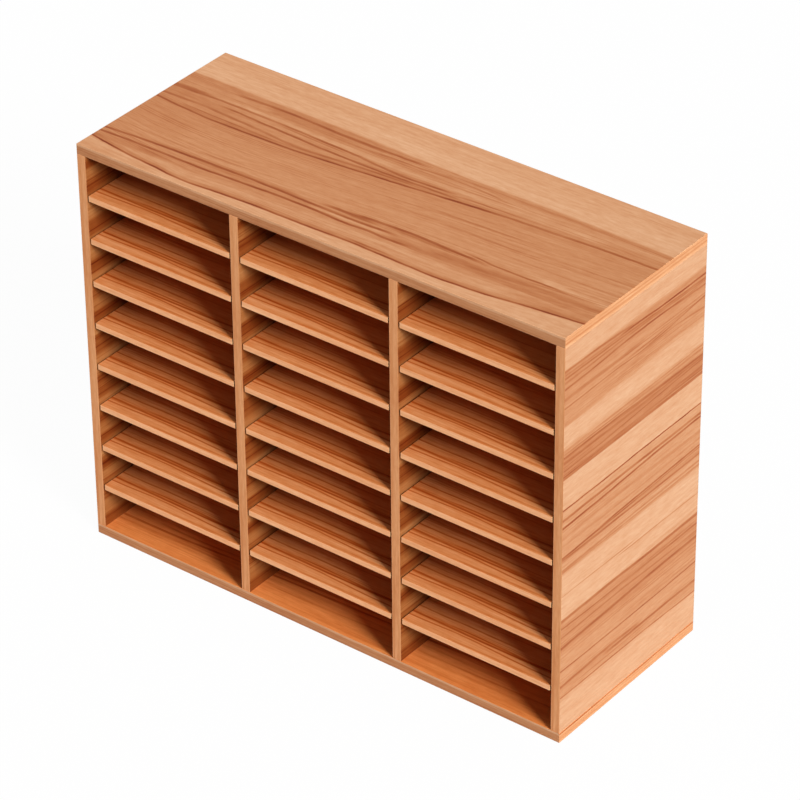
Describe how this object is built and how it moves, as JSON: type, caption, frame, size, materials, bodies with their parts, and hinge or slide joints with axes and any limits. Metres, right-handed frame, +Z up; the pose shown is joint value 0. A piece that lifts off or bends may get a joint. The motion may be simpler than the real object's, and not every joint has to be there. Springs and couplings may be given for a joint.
{
  "type": "pigeonhole mail sorter",
  "caption": "Open-fronted wood-laminate case with dividers and thin loose shelves on pins, making columns of flat pigeonholes for sorting mail and papers; each shelf slides out at the front.",
  "frame": {"origin": "on the floor, under the middle of the case", "axes": "+X to the right seen from the front, +Y to the back, +Z up; the open front faces -Y"},
  "size_m": [0.77, 0.3, 0.608],
  "materials": {
    "case_board": "satin beech-like laminate with streaked grain",
    "shelf_board": "satin beech-like laminate",
    "back_board": "thin faced hardboard, matt",
    "zinc_fitting": "zinc-plated, satin"
  },
  "bodies": {
    "case": {"top_panel": "case_board", "bottom_panel": "case_board", "left_side": "case_board", "left_divider": "case_board", "right_divider": "case_board", "right_side": "case_board", "back_panel": "back_board", "cam_left_side_front": "zinc_fitting", "cam_left_side_rear": "zinc_fitting", "cam_left_divider_front": "zinc_fitting", "cam_left_divider_rear": "zinc_fitting", "cam_right_divider_front": "zinc_fitting", "cam_right_divider_rear": "zinc_fitting", "cam_right_side_front": "zinc_fitting", "cam_right_side_rear": "zinc_fitting", "bolt_left_side_front": "zinc_fitting", "bolt_left_side_rear": "zinc_fitting", "bolt_left_divider_front": "zinc_fitting", "bolt_left_divider_rear": "zinc_fitting", "bolt_right_divider_front": "zinc_fitting", "bolt_right_divider_rear": "zinc_fitting", "bolt_right_side_front": "zinc_fitting", "bolt_right_side_rear": "zinc_fitting", "screw_left_side_front": "zinc_fitting", "screw_left_side_rear": "zinc_fitting", "screw_left_divider_front": "zinc_fitting", "screw_left_divider_rear": "zinc_fitting", "screw_right_divider_front": "zinc_fitting", "screw_right_divider_rear": "zinc_fitting", "screw_right_side_front": "zinc_fitting", "screw_right_side_rear": "zinc_fitting"},
    "shelf_left_1": {"shelf_left_1": "shelf_board"},
    "shelf_left_2": {"shelf_left_2": "shelf_board"},
    "shelf_left_3": {"shelf_left_3": "shelf_board"},
    "shelf_left_4": {"shelf_left_4": "shelf_board"},
    "shelf_left_5": {"shelf_left_5": "shelf_board"},
    "shelf_left_6": {"shelf_left_6": "shelf_board"},
    "shelf_left_7": {"shelf_left_7": "shelf_board"},
    "shelf_left_8": {"shelf_left_8": "shelf_board"},
    "shelf_centre_1": {"shelf_centre_1": "shelf_board"},
    "shelf_centre_2": {"shelf_centre_2": "shelf_board"},
    "shelf_centre_3": {"shelf_centre_3": "shelf_board"},
    "shelf_centre_4": {"shelf_centre_4": "shelf_board"},
    "shelf_centre_5": {"shelf_centre_5": "shelf_board"},
    "shelf_centre_6": {"shelf_centre_6": "shelf_board"},
    "shelf_centre_7": {"shelf_centre_7": "shelf_board"},
    "shelf_centre_8": {"shelf_centre_8": "shelf_board"},
    "shelf_right_1": {"shelf_right_1": "shelf_board"},
    "shelf_right_2": {"shelf_right_2": "shelf_board"},
    "shelf_right_3": {"shelf_right_3": "shelf_board"},
    "shelf_right_4": {"shelf_right_4": "shelf_board"},
    "shelf_right_5": {"shelf_right_5": "shelf_board"},
    "shelf_right_6": {"shelf_right_6": "shelf_board"},
    "shelf_right_7": {"shelf_right_7": "shelf_board"},
    "shelf_right_8": {"shelf_right_8": "shelf_board"}
  },
  "joints": [
    {"name": "slide_left_1", "type": "slide", "parent": "case", "child": "shelf_left_1", "axis": [0, -1, 0], "range_m": [0, 0.3]},
    {"name": "slide_left_2", "type": "slide", "parent": "case", "child": "shelf_left_2", "axis": [0, -1, 0], "range_m": [0, 0.3]},
    {"name": "slide_left_3", "type": "slide", "parent": "case", "child": "shelf_left_3", "axis": [0, -1, 0], "range_m": [0, 0.3]},
    {"name": "slide_left_4", "type": "slide", "parent": "case", "child": "shelf_left_4", "axis": [0, -1, 0], "range_m": [0, 0.3]},
    {"name": "slide_left_5", "type": "slide", "parent": "case", "child": "shelf_left_5", "axis": [0, -1, 0], "range_m": [0, 0.3]},
    {"name": "slide_left_6", "type": "slide", "parent": "case", "child": "shelf_left_6", "axis": [0, -1, 0], "range_m": [0, 0.3]},
    {"name": "slide_left_7", "type": "slide", "parent": "case", "child": "shelf_left_7", "axis": [0, -1, 0], "range_m": [0, 0.3]},
    {"name": "slide_left_8", "type": "slide", "parent": "case", "child": "shelf_left_8", "axis": [0, -1, 0], "range_m": [0, 0.3]},
    {"name": "slide_centre_1", "type": "slide", "parent": "case", "child": "shelf_centre_1", "axis": [0, -1, 0], "range_m": [0, 0.3]},
    {"name": "slide_centre_2", "type": "slide", "parent": "case", "child": "shelf_centre_2", "axis": [0, -1, 0], "range_m": [0, 0.3]},
    {"name": "slide_centre_3", "type": "slide", "parent": "case", "child": "shelf_centre_3", "axis": [0, -1, 0], "range_m": [0, 0.3]},
    {"name": "slide_centre_4", "type": "slide", "parent": "case", "child": "shelf_centre_4", "axis": [0, -1, 0], "range_m": [0, 0.3]},
    {"name": "slide_centre_5", "type": "slide", "parent": "case", "child": "shelf_centre_5", "axis": [0, -1, 0], "range_m": [0, 0.3]},
    {"name": "slide_centre_6", "type": "slide", "parent": "case", "child": "shelf_centre_6", "axis": [0, -1, 0], "range_m": [0, 0.3]},
    {"name": "slide_centre_7", "type": "slide", "parent": "case", "child": "shelf_centre_7", "axis": [0, -1, 0], "range_m": [0, 0.3]},
    {"name": "slide_centre_8", "type": "slide", "parent": "case", "child": "shelf_centre_8", "axis": [0, -1, 0], "range_m": [0, 0.3]},
    {"name": "slide_right_1", "type": "slide", "parent": "case", "child": "shelf_right_1", "axis": [0, -1, 0], "range_m": [0, 0.3]},
    {"name": "slide_right_2", "type": "slide", "parent": "case", "child": "shelf_right_2", "axis": [0, -1, 0], "range_m": [0, 0.3]},
    {"name": "slide_right_3", "type": "slide", "parent": "case", "child": "shelf_right_3", "axis": [0, -1, 0], "range_m": [0, 0.3]},
    {"name": "slide_right_4", "type": "slide", "parent": "case", "child": "shelf_right_4", "axis": [0, -1, 0], "range_m": [0, 0.3]},
    {"name": "slide_right_5", "type": "slide", "parent": "case", "child": "shelf_right_5", "axis": [0, -1, 0], "range_m": [0, 0.3]},
    {"name": "slide_right_6", "type": "slide", "parent": "case", "child": "shelf_right_6", "axis": [0, -1, 0], "range_m": [0, 0.3]},
    {"name": "slide_right_7", "type": "slide", "parent": "case", "child": "shelf_right_7", "axis": [0, -1, 0], "range_m": [0, 0.3]},
    {"name": "slide_right_8", "type": "slide", "parent": "case", "child": "shelf_right_8", "axis": [0, -1, 0], "range_m": [0, 0.3]}
  ]
}
